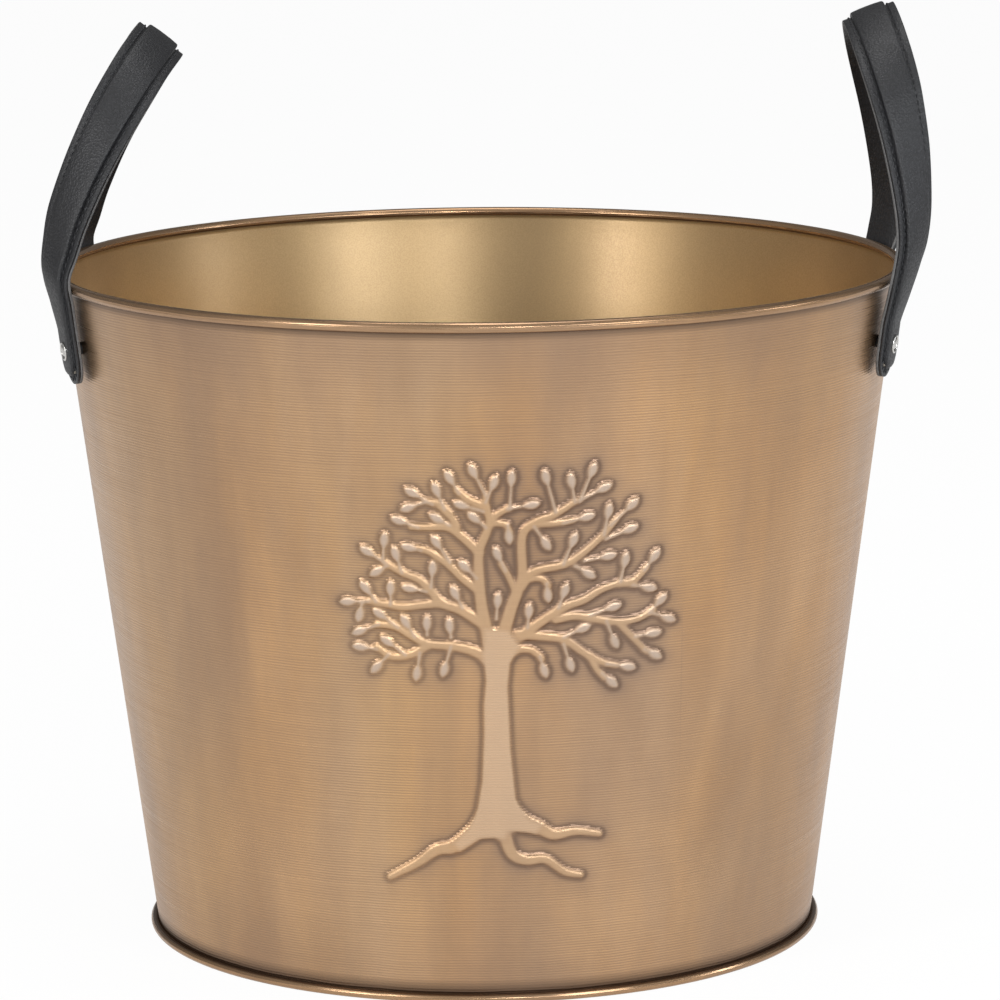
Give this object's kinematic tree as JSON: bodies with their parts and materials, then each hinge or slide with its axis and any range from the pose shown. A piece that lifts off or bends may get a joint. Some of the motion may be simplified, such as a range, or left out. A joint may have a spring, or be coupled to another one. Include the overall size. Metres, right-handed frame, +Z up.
{
  "type": "log bucket",
  "caption": "Round tapered metal log bucket with rolled rim and foot, a pressed tree on its front and a padded leather loop handle at each side.",
  "frame": {"origin": "centre of the bucket's foot, on the surface that it stands on", "axes": "+Z up, the tree faces -Y, the handles stand at -X and +X"},
  "size_m": [0.3885, 0.38, 0.4141],
  "materials": {
    "antique_copper": "antique copper lacquer over fine horizontal brushing",
    "gold_lacquer": "matte gold lacquer with a fine grain",
    "plain_steel": "bare steel",
    "black_leather": "black pebbled leather",
    "leather_lining": "black leather lining with a pale cut edge",
    "padding": "pressed leatherboard filler",
    "black_thread": "black sewing thread",
    "nickel": "polished nickel",
    "black_rubber": "black rubber"
  },
  "bodies": {
    "bucket": {"bucket_wall": "antique_copper", "rim_wire": "plain_steel", "foot_wire": "plain_steel", "base_pan": "gold_lacquer", "left_front_tab_cover": "black_leather", "left_front_tab_lining": "leather_lining", "left_front_tab_core": "padding", "left_front_flex": "black_leather", "left_front_rivet": "nickel", "left_front_rivet_cap": "nickel", "left_front_spacer": "black_rubber", "left_front_washer": "plain_steel", "left_rear_tab_cover": "black_leather", "left_rear_tab_lining": "leather_lining", "left_rear_tab_core": "padding", "left_rear_flex": "black_leather", "left_rear_rivet": "nickel", "left_rear_rivet_cap": "nickel", "left_rear_spacer": "black_rubber", "left_rear_washer": "plain_steel", "right_front_tab_cover": "black_leather", "right_front_tab_lining": "leather_lining", "right_front_tab_core": "padding", "right_front_flex": "black_leather", "right_front_rivet": "nickel", "right_front_rivet_cap": "nickel", "right_front_spacer": "black_rubber", "right_front_washer": "plain_steel", "right_rear_tab_cover": "black_leather", "right_rear_tab_lining": "leather_lining", "right_rear_tab_core": "padding", "right_rear_flex": "black_leather", "right_rear_rivet": "nickel", "right_rear_rivet_cap": "nickel", "right_rear_spacer": "black_rubber", "right_rear_washer": "plain_steel"},
    "left_handle": {"left_handle_cover": "black_leather", "left_handle_lining": "leather_lining", "left_handle_core": "padding", "left_handle_stitching": "black_thread"},
    "right_handle": {"right_handle_cover": "black_leather", "right_handle_lining": "leather_lining", "right_handle_core": "padding", "right_handle_stitching": "black_thread"}
  },
  "joints": [
    {"name": "left_handle_fold", "type": "hinge", "parent": "bucket", "child": "left_handle", "pos_m": [-0.184, 0, 0.3035], "axis": [0, 1, 0], "range_deg": [-120, 48], "deforming": ["left_front_flex", "left_rear_flex"]},
    {"name": "right_handle_fold", "type": "hinge", "parent": "bucket", "child": "right_handle", "pos_m": [0.1863, 0, 0.3035], "axis": [0, 1, 0], "range_deg": [-65, 105], "deforming": ["right_front_flex", "right_rear_flex"]}
  ]
}
